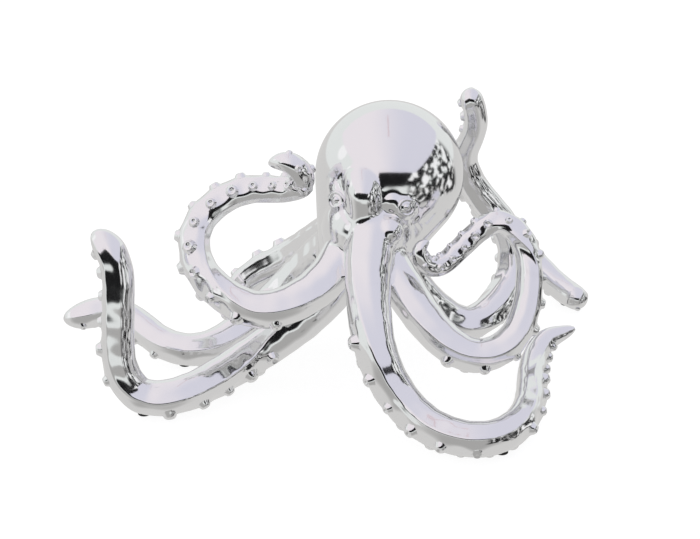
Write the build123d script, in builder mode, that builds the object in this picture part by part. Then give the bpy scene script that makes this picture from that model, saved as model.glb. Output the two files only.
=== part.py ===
from build123d import *
import math
import os

# A cast octopus ornament: a hollow body and eight solid arms, each cast alone, pinned and
# glued to a stub on the body, and plated over. Millimetres, Z up, the face towards -Y,
# the origin under the middle of the outline, on the table.

# Every place on the figure is a share of the span; with their tips the arms reach about
# a twentieth further
span = 330.0

# Body: an egg from the big head to the hub that the arms leave
head_radius = 47.0
hub_radius = 26.0
face_radius = 27.0
eye_radius = 9.5
casting_wall = 5.0

# The hole under the hub that the casting was poured out of, and its plug
drain_radius = 7.0
plug_radius = 10.0
plug_thickness = 4.0
plug_clearance = 0.15
hub_land_depth = 22.0

# Steel dowels in the seams
pin_radius = 2.0
pin_length = 24.0
pin_clearance = 0.1
pin_end_gap = 0.5

# Rubber feet, glued into flats under the arms
foot_radius = 4.0
foot_height = 2.5
foot_flat_margin = 0.6
foot_seat_depth = 1.2
foot_setback = 3.0

# Arm radii at the root and before the nose, the length that each nose narrows over,
# and how far from its first point each arm is cut off the body casting
front_root_radius = 17.5
front_end_radius = 10.2
front_nose_length = 55.0
front_seam_distance = 66.0
front_taper_power = 1.5

front_left_root_radius = 15.5
front_left_end_radius = 10.6
front_left_nose_length = 18.0
front_left_seam_distance = 72.0

left_root_radius = 15.5
left_end_radius = 8.4
left_nose_length = 26.0
left_seam_distance = 66.0

back_left_root_radius = 14.5
back_left_end_radius = 10.4
back_left_nose_length = 20.0
back_left_seam_distance = 74.0

back_root_radius = 14.5
back_end_radius = 10.5
back_nose_length = 72.0
back_seam_distance = 60.0

right_root_radius = 16.5
right_end_radius = 6.6
right_nose_length = 26.0
right_seam_distance = 64.0
right_taper_power = 1.3

back_right_root_radius = 15.0
back_right_end_radius = 8.4
back_right_nose_length = 9.0
back_right_seam_distance = 70.0

rear_root_radius = 13.0
rear_end_radius = 9.2
rear_nose_length = 9.0
rear_seam_distance = 60.0

# Section of an arm, as shares of its radius there: a round back over a flatter belly,
# with an edge along each side where they meet
back_share = 0.9
belly_share = 0.87
edge_side_share = 1.0
nose_end_share = 0.16
section_spacing = 12.0
least_sections = 2
nose_section_spacing = 24.0
nose_least_sections = 5
nose_last_angle = 81
back_steps = 90

# Suckers in two staggered rows on the belly, as shares of the arm's radius there
sucker_pitch_share = 1.15
sucker_radius_share = 0.23
sucker_top_share = 0.16
sucker_height_share = 0.18
sucker_root_share = 0.12
sucker_angle = 32
bare_nose_share = 0.33

# Places: x and y as shares of the span from the outline's middle, z as a share above the table
middle_shares = (0.011, -0.010)
head_shares = (0.124, 0.091, 0.358)
hub_shares = (0.067, 0.008, 0.224)
face_shares = (0.076, -0.010, 0.292)
drain_shares = (0.073, 0.026)
eye_place_shares = ((0.035, -0.004, 0.352), (0.146, -0.036, 0.352))

# Middle lines of the arms: x and y as above, z as a share above the height at which
# the belly of an arm that thick lies on the table
front_route_shares = (
    (0.097, 0.018, 0.286),
    (0.089, -0.067, 0.246),
    (0.082, -0.115, 0.210),
    (0.083, -0.171, 0.166),
    (0.096, -0.235, 0.108),
    (0.139, -0.276, 0.036),
    (0.208, -0.330, 0.003),
    (0.293, -0.350, 0.000),
    (0.360, -0.289, 0.000),
    (0.391, -0.163, 0.004),
    (0.405, -0.077, 0.014),
    (0.427, -0.040, 0.031),
    (0.460, -0.028, 0.042),
    (0.483, -0.022, 0.049),
)
front_left_route_shares = (
    (0.073, 0.012, 0.206),
    (0.052, -0.006, 0.173),
    (0.010, -0.036, 0.121),
    (-0.047, -0.061, 0.073),
    (-0.120, -0.080, 0.024),
    (-0.197, -0.138, 0.001),
    (-0.278, -0.202, -0.003),
    (-0.338, -0.205, 0.001),
    (-0.376, -0.196, 0.053),
    (-0.381, -0.180, 0.126),
    (-0.378, -0.164, 0.189),
    (-0.380, -0.145, 0.243),
    (-0.396, -0.130, 0.280),
    (-0.424, -0.116, 0.301),
)
left_route_shares = (
    (0.079, 0.006, 0.255),
    (0.052, -0.024, 0.234),
    (0.015, -0.073, 0.189),
    (-0.045, -0.115, 0.154),
    (-0.118, -0.130, 0.141),
    (-0.189, -0.099, 0.159),
    (-0.240, -0.048, 0.201),
    (-0.243, -0.006, 0.251),
    (-0.199, 0.024, 0.297),
    (-0.141, 0.036, 0.318),
    (-0.080, 0.024, 0.326),
    (-0.040, 0.006, 0.353),
    (-0.056, 0.000, 0.388),
    (-0.103, 0.010, 0.389),
)
back_left_route_shares = (
    (0.073, 0.000, 0.245),
    (0.039, 0.024, 0.217),
    (-0.025, 0.067, 0.138),
    (-0.099, 0.073, 0.052),
    (-0.173, 0.010, 0.014),
    (-0.245, -0.030, 0.000),
    (-0.312, -0.014, 0.005),
    (-0.370, 0.029, 0.028),
    (-0.423, 0.052, 0.042),
    (-0.482, 0.040, 0.038),
    (-0.512, 0.038, 0.035),
)
back_route_shares = (
    (0.079, 0.042, 0.233),
    (0.039, 0.091, 0.206),
    (-0.015, 0.145, 0.147),
    (-0.072, 0.182, 0.092),
    (-0.129, 0.194, 0.056),
    (-0.168, 0.188, 0.024),
    (-0.180, 0.155, 0.002),
    (-0.152, 0.128, -0.004),
    (-0.110, 0.130, -0.008),
    (-0.080, 0.150, -0.012),
)
right_route_shares = (
    (0.085, 0.000, 0.221),
    (0.114, -0.042, 0.194),
    (0.161, -0.103, 0.147),
    (0.216, -0.158, 0.098),
    (0.282, -0.182, 0.073),
    (0.342, -0.170, 0.094),
    (0.377, -0.133, 0.153),
    (0.383, -0.097, 0.215),
    (0.367, -0.067, 0.268),
    (0.326, -0.052, 0.296),
    (0.278, -0.061, 0.272),
    (0.238, -0.085, 0.243),
    (0.210, -0.103, 0.233),
    (0.183, -0.112, 0.252),
    (0.179, -0.109, 0.277),
    (0.194, -0.103, 0.289),
)
back_right_route_shares = (
    (0.079, 0.012, 0.245),
    (0.116, 0.036, 0.189),
    (0.170, 0.061, 0.090),
    (0.226, 0.066, 0.026),
    (0.281, 0.073, -0.002),
    (0.338, 0.111, 0.018),
    (0.372, 0.170, 0.054),
    (0.374, 0.200, 0.101),
    (0.356, 0.215, 0.151),
    (0.322, 0.221, 0.198),
    (0.289, 0.221, 0.250),
    (0.275, 0.218, 0.308),
    (0.291, 0.212, 0.365),
    (0.289, 0.206, 0.415),
    (0.273, 0.198, 0.456),
)
rear_route_shares = (
    (0.085, 0.067, 0.211),
    (0.127, 0.170, 0.158),
    (0.176, 0.255, 0.184),
    (0.230, 0.303, 0.215),
    (0.276, 0.324, 0.208),
    (0.303, 0.330, 0.173),
    (0.356, 0.327, 0.107),
    (0.410, 0.297, 0.050),
    (0.466, 0.248, 0.008),
    (0.521, 0.175, 0.000),
)

# Where along an arm's length its rubber feet sit
front_foot_shares = (0.62,)
front_left_foot_shares = (0.62,)
back_left_foot_shares = (0.65,)
back_foot_shares = (0.86,)
back_right_foot_shares = (0.385,)
rear_foot_shares = (0.93,)

# Degrees that an arm's back is turned about its line
back_roll = 150
up = Vector(0, 0, 1)


def place(shares):
    """A point of the figure from its shares of the span."""
    x = (shares[0] - middle_shares[0]) * span
    y = (shares[1] - middle_shares[1]) * span
    return Vector(x, y, shares[2] * span)


class Arm:
    """One arm: its middle line, its radius along it, and the way its back faces."""

    def __init__(self, route, root, end, nose, seam, power=1.0, roll=0, feet=()):
        self.root, self.end, self.nose, self.seam = root, end, nose, seam
        self.power = power
        last = len(route) - 1
        points = []
        for number, shares in enumerate(route):
            lying = foot_height + belly_share * self.taper(number / last)
            points.append(place(shares) + up * lying)
        self.line = Spline(*points)
        self.length = self.line.length
        self.feet = [share * self.length for share in feet]
        self.backs = self.carry_back(roll)

    def taper(self, along_share):
        """Radius without the nose, at a share of the length."""
        return self.end + (self.root - self.end) * (1 - along_share) ** self.power

    def radius(self, distance):
        """Radius at a distance from the first point, nose included."""
        into_nose = max(0, 1 - (self.length - distance) / self.nose)
        rounding = max(nose_end_share, math.sqrt(max(0, 1 - into_nose**2)))
        return self.taper(distance / self.length) * rounding

    def point(self, distance):
        return self.line.position_at(distance, position_mode=PositionMode.LENGTH)

    def heading(self, distance):
        return self.line.tangent_at(distance, position_mode=PositionMode.LENGTH)

    def carry_back(self, roll):
        """The back's direction in even steps along the line, carried without twisting."""
        backs = [up.rotate(Axis((0, 0, 0), self.heading(0)), roll)]
        for step in range(back_steps + 1):
            heading = self.heading(self.length * step / back_steps)
            backs.append((backs[-1] - heading * backs[-1].dot(heading)).normalized())
        return backs[1:]

    def plane(self, distance):
        """Plane square to the line: x to the arm's side, y to its back."""
        heading = self.heading(distance)
        step = round(distance / self.length * back_steps)
        back = self.backs[step]
        back = (back - heading * back.dot(heading)).normalized()
        return Plane(origin=self.point(distance), x_dir=back.cross(heading), z_dir=heading)

    def stub_stations(self):
        """Distances of the sections from inside the hub to the seam."""
        count = max(least_sections, round(self.seam / section_spacing))
        return [self.seam * number / count for number in range(count + 1)]

    def outer_stations(self):
        """Distances of the sections from the seam to the tip."""
        nose_start = self.length - self.nose
        count = max(least_sections, round((nose_start - self.seam) / section_spacing))
        step = (nose_start - self.seam) / count
        stations = [self.seam + step * number for number in range(count + 1)]
        count = nose_least_sections + round(self.nose / nose_section_spacing)
        angles = [90 * number / count for number in range(1, count)] + [nose_last_angle]
        for angle in angles:
            stations.append(nose_start + self.nose * math.sin(math.radians(angle)))
        return stations

    def sucker_planes(self):
        """Base plane and local radius of each sucker, the two rows in turn."""
        suckers = []
        distance = self.seam + self.radius(self.seam) * sucker_pitch_share
        side = 1
        while distance < self.length - self.nose * bare_nose_share:
            radius = self.radius(distance)
            clear = foot_radius + foot_flat_margin + radius * sucker_radius_share
            if all(abs(distance - foot) > clear for foot in self.feet):
                suckers.append((self.belly_plane(distance, side * sucker_angle), radius))
            distance += radius * sucker_pitch_share / 2
            side = -side
        return suckers

    def arc(self, distance, height_share):
        """Centre and radius of the section's arc with that height at its middle."""
        radius = self.radius(distance)
        middle_share = (height_share**2 - edge_side_share**2) / (2 * height_share)
        middle = self.point(distance) + self.plane(distance).y_dir * (middle_share * radius)
        return middle, abs(height_share - middle_share) * radius

    def belly_plane(self, distance, angle):
        """Plane on the belly, at an angle about the centre of its arc."""
        section = self.plane(distance)
        middle, arc_radius = self.arc(distance, -belly_share)
        outward = section.x_dir * math.sin(math.radians(angle))
        outward -= section.y_dir * math.cos(math.radians(angle))
        return Plane(origin=middle + outward * arc_radius, z_dir=outward)

    def foot_seat(self, distance):
        """Middle of the flat that a rubber foot is glued to, just behind the lowest place."""
        lower_share = -belly_share if self.plane(distance).y_dir.Z > 0 else back_share
        middle, reach = self.arc(distance, lower_share)
        return middle + Vector(0, foot_setback, foot_seat_depth - reach)


def arm_section(arm, distance):
    """An arm's section: one arc over the back and one under the belly."""
    radius = arm.radius(distance)
    side = edge_side_share * radius
    with BuildSketch(arm.plane(distance)) as section:
        with BuildLine():
            ThreePointArc((side, 0), (0, back_share * radius), (-side, 0))
            ThreePointArc((-side, 0), (0, -belly_share * radius), (side, 0))
        make_face()
    return section.sketch


def sucker(base, radius):
    """One sucker: a short cone, sunk a little into the belly."""
    sunk = Plane(origin=base.origin - base.z_dir * (radius * sucker_root_share), z_dir=base.z_dir)
    cone = Solid.make_cone(
        radius * sucker_radius_share, radius * sucker_top_share,
        radius * (sucker_root_share + sucker_height_share), sunk,
    )
    return cone


arms = {
    "front": Arm(
        front_route_shares, front_root_radius, front_end_radius,
        front_nose_length, front_seam_distance, power=front_taper_power,
        feet=front_foot_shares,
    ),
    "front_left": Arm(
        front_left_route_shares, front_left_root_radius, front_left_end_radius,
        front_left_nose_length, front_left_seam_distance, feet=front_left_foot_shares,
    ),
    "left": Arm(
        left_route_shares, left_root_radius, left_end_radius,
        left_nose_length, left_seam_distance,
    ),
    "back_left": Arm(
        back_left_route_shares, back_left_root_radius, back_left_end_radius,
        back_left_nose_length, back_left_seam_distance, feet=back_left_foot_shares,
    ),
    "back": Arm(
        back_route_shares, back_root_radius, back_end_radius,
        back_nose_length, back_seam_distance, roll=back_roll, feet=back_foot_shares,
    ),
    "right": Arm(
        right_route_shares, right_root_radius, right_end_radius,
        right_nose_length, right_seam_distance, power=right_taper_power,
    ),
    "back_right": Arm(
        back_right_route_shares, back_right_root_radius, back_right_end_radius,
        back_right_nose_length, back_right_seam_distance, feet=back_right_foot_shares,
    ),
    "rear": Arm(
        rear_route_shares, rear_root_radius, rear_end_radius,
        rear_nose_length, rear_seam_distance, feet=rear_foot_shares,
    ),
}

os.makedirs("parts", exist_ok=True)


def save(builder, name):
    """Label a finished piece and write its file."""
    builder.part.label = name
    export_step(builder.part, f"parts/{name}.step")


# Body casting
head_place, hub_place = place(head_shares), place(hub_shares)
neck = head_place - hub_place
neck_sine = (head_radius - hub_radius) / neck.length
neck_cosine = math.sqrt(1 - neck_sine**2)
neck_plane = Plane(
    origin=hub_place - neck.normalized() * (hub_radius * neck_sine), z_dir=neck.normalized()
)
neck_height = neck.length - (head_radius - hub_radius) * neck_sine
land_height = hub_place.Z - hub_land_depth
drain_place = place((*drain_shares, 0))
drain_place.Z = land_height

with BuildPart() as body:
    with Locations(head_place):
        Sphere(head_radius)
    with Locations(hub_place):
        Sphere(hub_radius)
    with Locations(neck_plane):
        Cone(
            hub_radius * neck_cosine, head_radius * neck_cosine, neck_height,
            align=(Align.CENTER, Align.CENTER, Align.MIN),
        )
    with Locations(place(face_shares)):
        Sphere(face_radius)
    with Locations(*[place(shares) for shares in eye_place_shares]):
        Sphere(eye_radius)
    for arm in arms.values():
        loft(sections=[arm_section(arm, station) for station in arm.stub_stations()])
    with Locations(head_place):
        Sphere(head_radius - casting_wall, mode=Mode.SUBTRACT)
    with Locations(drain_place):
        Cylinder(
            drain_radius, head_place.Z - land_height,
            align=(Align.CENTER, Align.CENTER, Align.MIN), mode=Mode.SUBTRACT,
        )
        Cylinder(
            plug_radius, 2 * plug_thickness,
            align=(Align.CENTER, Align.CENTER, Align.CENTER), mode=Mode.SUBTRACT,
        )
    for arm in arms.values():
        with Locations(arm.plane(arm.seam)):
            Cylinder(
                pin_radius + pin_clearance, pin_length + 2 * pin_end_gap, mode=Mode.SUBTRACT
            )
save(body, "body_casting")

# Plug in the drain hole
with BuildPart() as plug:
    with Locations(drain_place):
        Cylinder(
            plug_radius - plug_clearance, plug_thickness,
            align=(Align.CENTER, Align.CENTER, Align.MIN),
        )
save(plug, "drain_plug")

# Arms
for name, arm in arms.items():
    with BuildPart() as casting:
        loft(sections=[arm_section(arm, station) for station in arm.outer_stations()])
        add([sucker(base, radius) for base, radius in arm.sucker_planes()])
        with Locations(arm.plane(arm.seam)):
            Cylinder(
                pin_radius + pin_clearance, pin_length + 2 * pin_end_gap, mode=Mode.SUBTRACT
            )
        for foot in arm.feet:
            with Locations(arm.foot_seat(foot)):
                Cylinder(
                    foot_radius + foot_flat_margin, foot_height + foot_seat_depth,
                    align=(Align.CENTER, Align.CENTER, Align.MAX), mode=Mode.SUBTRACT,
                )
    save(casting, f"arm_{name}")

# Dowels, one through each seam
with BuildPart() as pins:
    for arm in arms.values():
        with Locations(arm.plane(arm.seam)):
            Cylinder(pin_radius, pin_length)
save(pins, "dowel_pins")

# Rubber feet
with BuildPart() as feet:
    for arm in arms.values():
        for foot in arm.feet:
            seat = arm.foot_seat(foot)
            with Locations(seat):
                Cylinder(foot_radius, seat.Z, align=(Align.CENTER, Align.CENTER, Align.MAX))
save(feet, "rubber_feet")
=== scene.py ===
import math

import bmesh
import bpy
import numpy as np
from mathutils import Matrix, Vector


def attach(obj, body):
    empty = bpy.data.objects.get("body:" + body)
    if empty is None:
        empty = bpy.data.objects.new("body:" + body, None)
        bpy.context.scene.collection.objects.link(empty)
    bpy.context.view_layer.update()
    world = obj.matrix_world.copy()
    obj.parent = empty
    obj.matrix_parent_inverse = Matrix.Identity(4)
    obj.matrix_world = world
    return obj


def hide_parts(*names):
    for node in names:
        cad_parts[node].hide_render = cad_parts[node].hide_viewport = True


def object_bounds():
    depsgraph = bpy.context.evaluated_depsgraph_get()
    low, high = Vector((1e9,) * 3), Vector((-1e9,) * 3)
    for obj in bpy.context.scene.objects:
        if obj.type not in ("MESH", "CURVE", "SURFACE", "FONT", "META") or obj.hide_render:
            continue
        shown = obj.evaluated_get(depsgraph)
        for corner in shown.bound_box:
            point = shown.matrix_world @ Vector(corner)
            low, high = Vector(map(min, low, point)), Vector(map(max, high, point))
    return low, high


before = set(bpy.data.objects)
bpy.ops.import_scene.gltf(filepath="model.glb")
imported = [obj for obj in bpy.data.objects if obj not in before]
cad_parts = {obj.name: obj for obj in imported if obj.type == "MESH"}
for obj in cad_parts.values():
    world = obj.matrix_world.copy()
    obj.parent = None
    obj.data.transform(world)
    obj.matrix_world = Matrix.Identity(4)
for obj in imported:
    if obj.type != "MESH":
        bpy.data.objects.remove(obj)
CAD_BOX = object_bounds()

bl_info = {
    "name": "Octopus figurine looks",
    "version": (1, 0, 0),
    "blender": (4, 5, 0),
    "location": "View3D > Sidebar > Octopus",
    "description": "A mirror-plated octopus ornament with suckered arms, on rubber feet",
    "category": "Object",
}

MM = 0.001
DEGREE = math.pi / 180
UP = np.array([0.0, 0.0, 1.0])
# Slanted, so that no sucker faces quite that way; the suckers are turned by it
NEAR_UP = np.array([0.3, 0.1, 1.0])

# Places of the figure, as shares of the span: x and y from the outline's middle, z above the table
MIDDLE_SHARES = (0.011, -0.010)
HEAD_SHARES = (0.124, 0.091, 0.358)
HUB_SHARES = (0.067, 0.008, 0.224)
FACE_SHARES = (0.076, -0.010, 0.292)
DRAIN_SHARES = (0.073, 0.026)
EYE_PLACE_SHARES = ((0.035, -0.004, 0.352), (0.146, -0.036, 0.352))
# Where each eye looks, as right, towards the back and up
EYE_WAYS = ((-0.5, -0.8, 0.3), (0.3, -0.85, 0.35))
# Lobes of the face: place as above and radius in millimetres
FACE_LOBES = (
    ((0.066, 0.000, 0.345), 15),
    ((0.030, 0.008, 0.372), 8),
    ((0.127, -0.030, 0.362), 10),
    ((0.121, -0.070, 0.318), 9.5),
)
# Ridges of the face: radius in millimetres and the places that each runs through. The brow
# comes down between the eyes, and two folds lie beside the right eye.
FACE_RIDGES = (
    (11, ((0.070, -0.020, 0.394), (0.072, -0.038, 0.384), (0.075, -0.047, 0.345), (0.079, -0.062, 0.312))),
    (3, ((0.150, -0.050, 0.330), (0.158, -0.040, 0.300), (0.150, -0.035, 0.270), (0.128, -0.035, 0.245))),
    (3, ((0.172, -0.036, 0.325), (0.181, -0.020, 0.295), (0.172, -0.010, 0.262))),
)
RIDGE_SPACING = 1.5 * MM
RIDGE_SEGMENTS = 36
BALL_SEGMENTS = 96
# Ring and pupil on each eye, as shares of the eye's radius
EYE_RING_SHARE = 0.5
EYE_RING_THICKNESS_SHARE = 0.13
EYE_RING_LIFT_SHARE = 0.84
PUPIL_SHARE = 0.3
PUPIL_LIFT_SHARE = 0.78

# Section of an arm, as shares of its radius: a round back over a flatter belly, and along
# each side where they meet a raised lip with a groove above it. Lip and groove have their
# places and widths in degrees round the section.
BACK_SHARE = 0.9
BELLY_SHARE = 0.87
EDGE_SIDE_SHARE = 0.96
LIP_SHARE = 0.04
LIP_WIDTH = 7
GROOVE_SHARE = 0.04
GROOVE_PLACE = 23
GROOVE_WIDTH = 15
# The rounded nose: its smallest radius as a share of the arm's, and how far round in degrees
# and in how many rings it is drawn
NOSE_END_SHARE = 0.16
NOSE_LAST_ANGLE = 83
NOSE_RINGS_LEAST = 14
# Points along an arm's middle line: to measure it by, and to keep its directions at
MEASURE_POINTS = 4000
LINE_POINTS = 721

# Suckers, as shares of the arm's radius where each one sits; each row lies this many degrees
# from the middle of the belly, and the last part of the nose has none
SUCKER_PITCH_SHARE = 1.4
SUCKER_RADIUS_SHARE = 0.27
SUCKER_HEIGHT_SHARE = 0.17
SUCKER_ANGLE = 38
BARE_NOSE_SHARE = 0.33
SUCKER_SIDES = 10
# A sucker's outline from its skirt over the rim into the dimple: reach and lift
SUCKER_PROFILE_SHARES = (
    (1.45, -0.60), (1.15, 0.05), (0.98, 0.60), (0.76, 0.95), (0.50, 0.90), (0.28, 0.55),
)
SUCKER_BASE_SHARE = -0.8
SUCKER_DIMPLE_SHARE = 0.4
# Their sizes swing by this share, each one this many radians on from the one before
SUCKER_SWING_SHARE = 0.14
SUCKER_SWING_STEP = 7.3
# Hollows of the belly between the suckers, their width in degrees, and the lengths over which
# they start after the first sucker and end before the last
HOLLOW_SHARE = 0.11
HOLLOW_WIDTH = 24
HOLLOW_START = 10 * MM
HOLLOW_END = 6 * MM
# Unevenness of the cast skin: share of the radius, its two wavelengths and how far in radians
# the waves lean round the arm
WAVE_SHARE = 0.006
WAVE_LENGTHS = (21 * MM, 12.7 * MM)
WAVE_LEANS = (1.7, 2.3)

# Angles of an arm's rings on one side, from under the belly to the top, closer at the lip
HALF_RING_ANGLES = (
    -90, -76, -63, -51, -41, -32, -24, -17, -12, -8, -5, -2, 1, 4, 7, 10, 13.5, 17,
    21, 26, 32, 39, 47, 57, 68, 79, 90,
)

# Middle lines of the arms: x and y as above, z above the height at which an arm
# that thick lies on the table. The same places as in the solids.
ARM_ROUTE_SHARES = {
    "front": (
        (0.097, 0.018, 0.286),
        (0.089, -0.067, 0.246),
        (0.082, -0.115, 0.210),
        (0.083, -0.171, 0.166),
        (0.096, -0.235, 0.108),
        (0.139, -0.276, 0.036),
        (0.208, -0.330, 0.003),
        (0.293, -0.350, 0.000),
        (0.360, -0.289, 0.000),
        (0.391, -0.163, 0.004),
        (0.405, -0.077, 0.014),
        (0.427, -0.040, 0.031),
        (0.460, -0.028, 0.042),
        (0.483, -0.022, 0.049),
    ),
    "front_left": (
        (0.073, 0.012, 0.206),
        (0.052, -0.006, 0.173),
        (0.010, -0.036, 0.121),
        (-0.047, -0.061, 0.073),
        (-0.120, -0.080, 0.024),
        (-0.197, -0.138, 0.001),
        (-0.278, -0.202, -0.003),
        (-0.338, -0.205, 0.001),
        (-0.376, -0.196, 0.053),
        (-0.381, -0.180, 0.126),
        (-0.378, -0.164, 0.189),
        (-0.380, -0.145, 0.243),
        (-0.396, -0.130, 0.280),
        (-0.424, -0.116, 0.301),
    ),
    "left": (
        (0.079, 0.006, 0.255),
        (0.052, -0.024, 0.234),
        (0.015, -0.073, 0.189),
        (-0.045, -0.115, 0.154),
        (-0.118, -0.130, 0.141),
        (-0.189, -0.099, 0.159),
        (-0.240, -0.048, 0.201),
        (-0.243, -0.006, 0.251),
        (-0.199, 0.024, 0.297),
        (-0.141, 0.036, 0.318),
        (-0.080, 0.024, 0.326),
        (-0.040, 0.006, 0.353),
        (-0.056, 0.000, 0.388),
        (-0.103, 0.010, 0.389),
    ),
    "back_left": (
        (0.073, 0.000, 0.245),
        (0.039, 0.024, 0.217),
        (-0.025, 0.067, 0.138),
        (-0.099, 0.073, 0.052),
        (-0.173, 0.010, 0.014),
        (-0.245, -0.030, 0.000),
        (-0.312, -0.014, 0.005),
        (-0.370, 0.029, 0.028),
        (-0.423, 0.052, 0.042),
        (-0.482, 0.040, 0.038),
        (-0.512, 0.038, 0.035),
    ),
    "back": (
        (0.079, 0.042, 0.233),
        (0.039, 0.091, 0.206),
        (-0.015, 0.145, 0.147),
        (-0.072, 0.182, 0.092),
        (-0.129, 0.194, 0.056),
        (-0.168, 0.188, 0.024),
        (-0.180, 0.155, 0.002),
        (-0.152, 0.128, -0.004),
        (-0.110, 0.130, -0.008),
        (-0.080, 0.150, -0.012),
    ),
    "right": (
        (0.085, 0.000, 0.221),
        (0.114, -0.042, 0.194),
        (0.161, -0.103, 0.147),
        (0.216, -0.158, 0.098),
        (0.282, -0.182, 0.073),
        (0.342, -0.170, 0.094),
        (0.377, -0.133, 0.153),
        (0.383, -0.097, 0.215),
        (0.367, -0.067, 0.268),
        (0.326, -0.052, 0.296),
        (0.278, -0.061, 0.272),
        (0.238, -0.085, 0.243),
        (0.210, -0.103, 0.233),
        (0.183, -0.112, 0.252),
        (0.179, -0.109, 0.277),
        (0.194, -0.103, 0.289),
    ),
    "back_right": (
        (0.079, 0.012, 0.245),
        (0.116, 0.036, 0.189),
        (0.170, 0.061, 0.090),
        (0.226, 0.066, 0.026),
        (0.281, 0.073, -0.002),
        (0.338, 0.111, 0.018),
        (0.372, 0.170, 0.054),
        (0.374, 0.200, 0.101),
        (0.356, 0.215, 0.151),
        (0.322, 0.221, 0.198),
        (0.289, 0.221, 0.250),
        (0.275, 0.218, 0.308),
        (0.291, 0.212, 0.365),
        (0.289, 0.206, 0.415),
        (0.273, 0.198, 0.456),
    ),
    "rear": (
        (0.085, 0.067, 0.211),
        (0.127, 0.170, 0.158),
        (0.176, 0.255, 0.184),
        (0.230, 0.303, 0.215),
        (0.276, 0.324, 0.208),
        (0.303, 0.330, 0.173),
        (0.356, 0.327, 0.107),
        (0.410, 0.297, 0.050),
        (0.466, 0.248, 0.008),
        (0.521, 0.175, 0.000),
    ),
}

# Each arm in millimetres: radius at the root and before the nose, the length that the nose
# narrows over, and the distance from the first point to the seam with the body casting
ARM_SIZES = {
    "front": (17.5, 10.2, 55, 66),
    "front_left": (15.5, 10.6, 18, 72),
    "left": (15.5, 8.4, 26, 66),
    "back_left": (14.5, 10.4, 20, 74),
    "back": (14.5, 10.5, 72, 60),
    "right": (16.5, 6.6, 26, 64),
    "back_right": (15, 8.4, 9, 70),
    "rear": (13, 9.2, 9, 60),
}
ARM_TAPER_POWER = {"front": 1.5, "right": 1.3}
# The way the belly faces at points of an arm's middle line, by number: right, up and towards
# the viewer in the picture. The back arm carries its own along without twisting.
BELLY_WAYS = {
    "front": {
        0: (-0.6, 0, -0.8), 2: (-0.75, -0.1, -0.65), 3: (-0.85, -0.1, -0.5), 4: (-0.95, -0.3, -0.1),
        5: (-0.85, -0.5, 0), 6: (-0.3, -0.95, 0.1), 7: (0.2, -1, 0.1), 8: (0.8, -0.6, -0.1),
        9: (0.95, 0, -0.3), 10: (0.8, -0.5, -0.2), 11: (0.4, -0.9, 0), 13: (0.3, -0.9, 0),
    },
    "front_left": {
        0: (0.3, -0.7, 0.5), 3: (0.3, -0.75, 0.45), 4: (0.3, -0.85, 0.1), 5: (0.35, -0.9, -0.2),
        6: (0.3, -0.9, -0.25), 7: (-0.5, -0.85, -0.15),
        8: (-0.9, -0.3, -0.4), 11: (-0.8, 0, -0.6), 13: (-0.4, -0.8, -0.45),
    },
    "left": {
        0: (0, -1, -0.3), 2: (0, -1, -0.25), 4: (-0.1, -1, -0.1), 5: (-0.6, -0.75, 0.25),
        6: (-0.75, -0.1, 0.6), 7: (-0.7, 0.3, 0.65), 8: (-0.4, 0.6, 0.7), 9: (-0.1, 0.7, 0.7),
        10: (0, 0.75, 0.65), 11: (0.5, 0.4, 0.75), 12: (0.4, 0.5, 0.8), 13: (0, 0.6, 0.8),
    },
    "back_left": {0: (0, -0.9, -0.4), 3: (0, -1, 0), 10: (0, -1, 0)},
    "right": {
        0: (-0.3, -1, -0.2), 3: (-0.2, -1, -0.1), 4: (0, -1, 0), 5: (0.6, -0.7, -0.3),
        6: (0.85, -0.2, -0.5), 7: (0.85, 0.1, -0.5), 8: (0.6, 0.6, 0.3), 9: (0.2, 0.75, 0.65),
        10: (-0.2, 0.5, 0.85), 12: (-0.1, 0.4, 0.9), 15: (0.2, 0.4, 0.9),
    },
    "back_right": {
        0: (0, -1, -0.3), 4: (0, -1, -0.3), 6: (-0.5, -0.3, -0.8), 8: (-0.7, 0, -0.7),
        14: (-0.8, 0, -0.6),
    },
    "rear": {0: (0, -1, -0.3), 3: (0, -0.9, -0.4), 6: (-0.2, -0.4, -0.9), 9: (-0.2, -0.4, -0.9)},
}
# Degrees that the back is rolled by at the root of the arm that has no ways above
ARM_ROLL = {"back": 150}
# Places of the rubber pads, as shares of the arms' lengths
FOOT_PLACE_SHARES = {
    "front": (0.62,),
    "front_left": (0.62,),
    "back_left": (0.65,),
    "back": (0.86,),
    "back_right": (0.385,),
    "rear": (0.93,),
}

# Stubs of the body: spacing of their rings, how far before the seam they start to lie on the
# arm's surface and over which length, and within which share of the radius
STUB_SPACING = 2 * MM
SETTLE_START = 20 * MM
SETTLE_LENGTH = 14 * MM
SETTLE_GAP_SHARE = 0.3
# What the cut at a seam takes in: how far before the seam along the middle line it starts, how
# far it laps over the seam's plane, and its reach from the middle line and from the seam's
# middle as shares of the radius
CUT_START = 3 * MM
CUT_OVERLAP = 2 * MM
CUT_REACH_SHARE = 1.15
CUT_SEARCH_SHARE = 2.2
# Points of the body's skin that are measured against the arms at a time
CHUNK = 4000
SKIN_SMOOTHING_ROUNDS = 20
SHARP_ANGLE = 40
# Recess of the drain plug over the plug's face, and the cylinder that cuts it
PLUG_RECESS = 4 * MM
DRAIN_CUTTER_DEPTH = 30 * MM

# Real sizes of the finishes' patterns. Waves of the casting show in its reflections, and the
# plating is hazed in patches.
CASTING_WAVE = 11.76 * MM
PLATING_PATCH = 20 * MM
RUBBER_GRAIN = 0.303 * MM
WEAR_PATCH = 2 * MM

# Camera: it looks along +Y and down at the middle of the figure
CAMERA_TARGET = (12.4 * MM, 3.3 * MM, 66 * MM)
CAMERA_DISTANCE = 1.3
CAMERA_ELEVATION = 28
CAMERA_LENS = 105.95
SENSOR_WIDTH = 36
FARTHEST_SEEN = 50

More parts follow.
